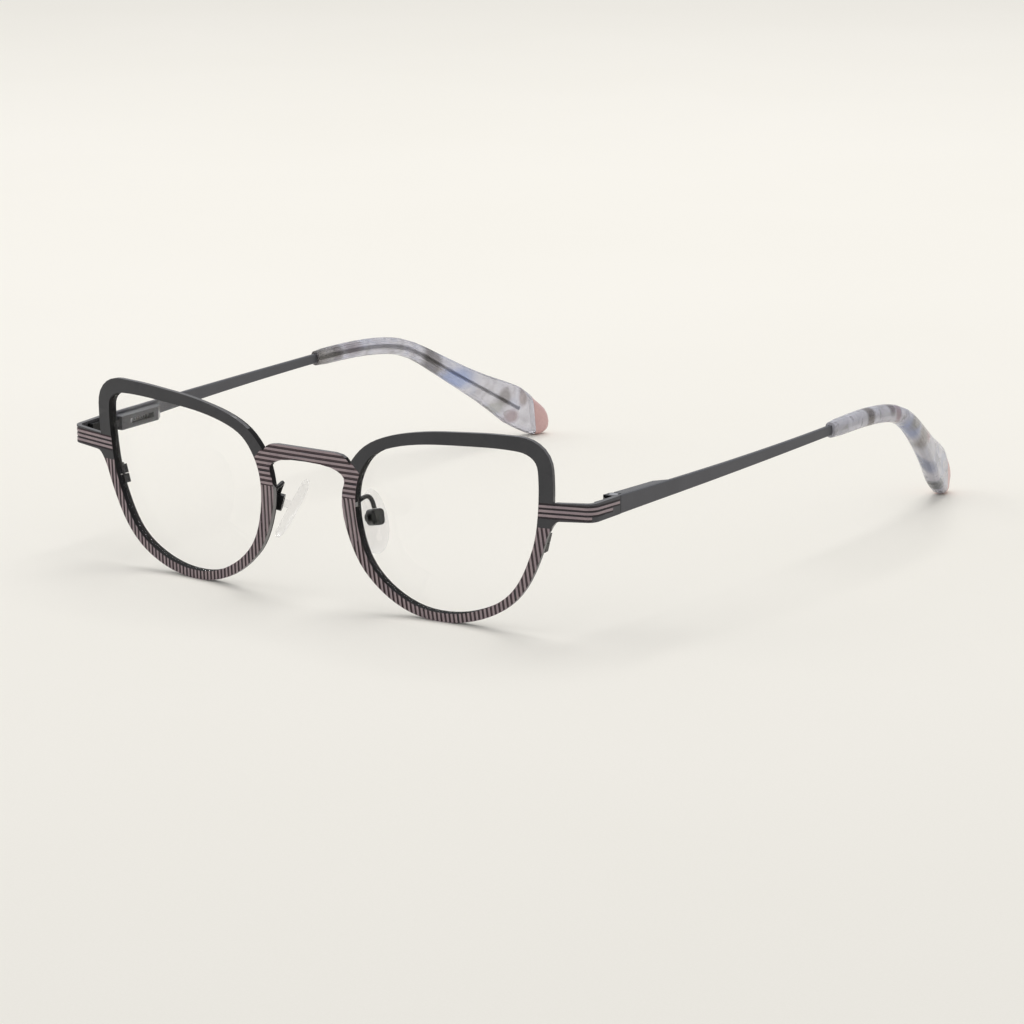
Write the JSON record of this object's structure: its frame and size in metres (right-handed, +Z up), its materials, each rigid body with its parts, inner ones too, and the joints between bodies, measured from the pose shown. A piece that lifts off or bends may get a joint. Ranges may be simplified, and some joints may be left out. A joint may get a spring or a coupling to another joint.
{
  "type": "cat eye glasses",
  "caption": "Combination cat eye glasses: lined sheet-metal front with painted brow, clear lenses and nose pads, flex-hinged temples and marbled acetate tips.",
  "frame": {"origin": "centre of the bounding box in X and Y, on the surface the glasses stand on", "axes": "the front faces -Y, the temples run to +Y, +Z is up; the wearer's left is at +X"},
  "size_m": [0.1268, 0.1512, 0.0369],
  "materials": {
    "front": "matte charcoal paint with fine pink-brown engraved lines",
    "wire": "dark satin",
    "lens": "clear polished",
    "black": "black satin",
    "pad": "clear silicone",
    "steel": "satin",
    "temple": "matte charcoal paint",
    "acetate": "marbled grey and brown, polished",
    "pink": "pink, polished"
  },
  "bodies": {
    "front": {"front_plate": "front", "left_eyewire": "wire", "left_lens": "lens", "left_rim_lock_upper": "wire", "left_rim_lock_lower": "wire", "left_rim_lock_screw": "steel", "left_pad_arm": "black", "left_pad_box": "black", "left_pad_screw": "black", "left_hinge_leaf": "wire", "right_eyewire": "wire", "right_lens": "lens", "right_rim_lock_upper": "wire", "right_rim_lock_lower": "wire", "right_rim_lock_screw": "steel", "right_pad_arm": "black", "right_pad_box": "black", "right_pad_screw": "black", "right_hinge_leaf": "wire"},
    "left_screw": {"left_hinge_screw": "steel"},
    "left_tongue": {"left_spring_tongue": "steel"},
    "left_temple": {"left_temple_bar": "temple", "left_temple_tip": "acetate", "left_tip_end": "pink", "left_spring_case": "steel", "left_spring_stop": "steel", "left_hinge_spring": "steel"},
    "left_pad": {"left_nose_pad": "pad"},
    "right_screw": {"right_hinge_screw": "steel"},
    "right_tongue": {"right_spring_tongue": "steel"},
    "right_temple": {"right_temple_bar": "temple", "right_temple_tip": "acetate", "right_tip_end": "pink", "right_spring_case": "steel", "right_spring_stop": "steel", "right_hinge_spring": "steel"},
    "right_pad": {"right_nose_pad": "pad"}
  },
  "joints": [
    {"name": "left_temple_flex", "type": "hinge", "parent": "front", "child": "left_screw", "pos_m": [0.05879, -0.06095, 0.02428], "axis": [0, 0, 1], "range_deg": [-12, 0], "stiffness_Nm_per_rad": 0.3, "springref_deg": 2.86},
    {"name": "left_temple_fold", "type": "hinge", "parent": "left_screw", "child": "left_tongue", "pos_m": [0.05879, -0.06095, 0.02428], "axis": [0, 0, 1], "range_deg": [0, 90]},
    {"name": "left_spring_slide", "type": "slide", "parent": "left_tongue", "child": "left_temple", "axis": [0.0506, 0.9987, 0], "range_m": [0, 0.00055], "deforming": ["left_hinge_spring"]},
    {"name": "left_pad_rock", "type": "hinge", "parent": "front", "child": "left_pad", "pos_m": [0.01133, -0.06929, 0.01675], "axis": [0.4848, 0.8746, 0], "range_deg": [-6, 6]},
    {"name": "right_temple_flex", "type": "hinge", "parent": "front", "child": "right_screw", "pos_m": [-0.05879, -0.06095, 0.02428], "axis": [0, 0, -1], "range_deg": [-12, 0], "stiffness_Nm_per_rad": 0.3, "springref_deg": 2.86},
    {"name": "right_temple_fold", "type": "hinge", "parent": "right_screw", "child": "right_tongue", "pos_m": [-0.05879, -0.06095, 0.02428], "axis": [0, 0, -1], "range_deg": [0, 78]},
    {"name": "right_spring_slide", "type": "slide", "parent": "right_tongue", "child": "right_temple", "axis": [-0.0506, 0.9987, 0], "range_m": [0, 0.00055], "deforming": ["right_hinge_spring"]},
    {"name": "right_pad_rock", "type": "hinge", "parent": "front", "child": "right_pad", "pos_m": [-0.01133, -0.06929, 0.01675], "axis": [-0.4848, 0.8746, 0], "range_deg": [-6, 6]}
  ],
  "couplings": [
    {"joint": "left_spring_slide", "follows": "left_temple_flex", "m_per_rad": -0.0024},
    {"joint": "right_spring_slide", "follows": "right_temple_flex", "m_per_rad": -0.0024}
  ]
}
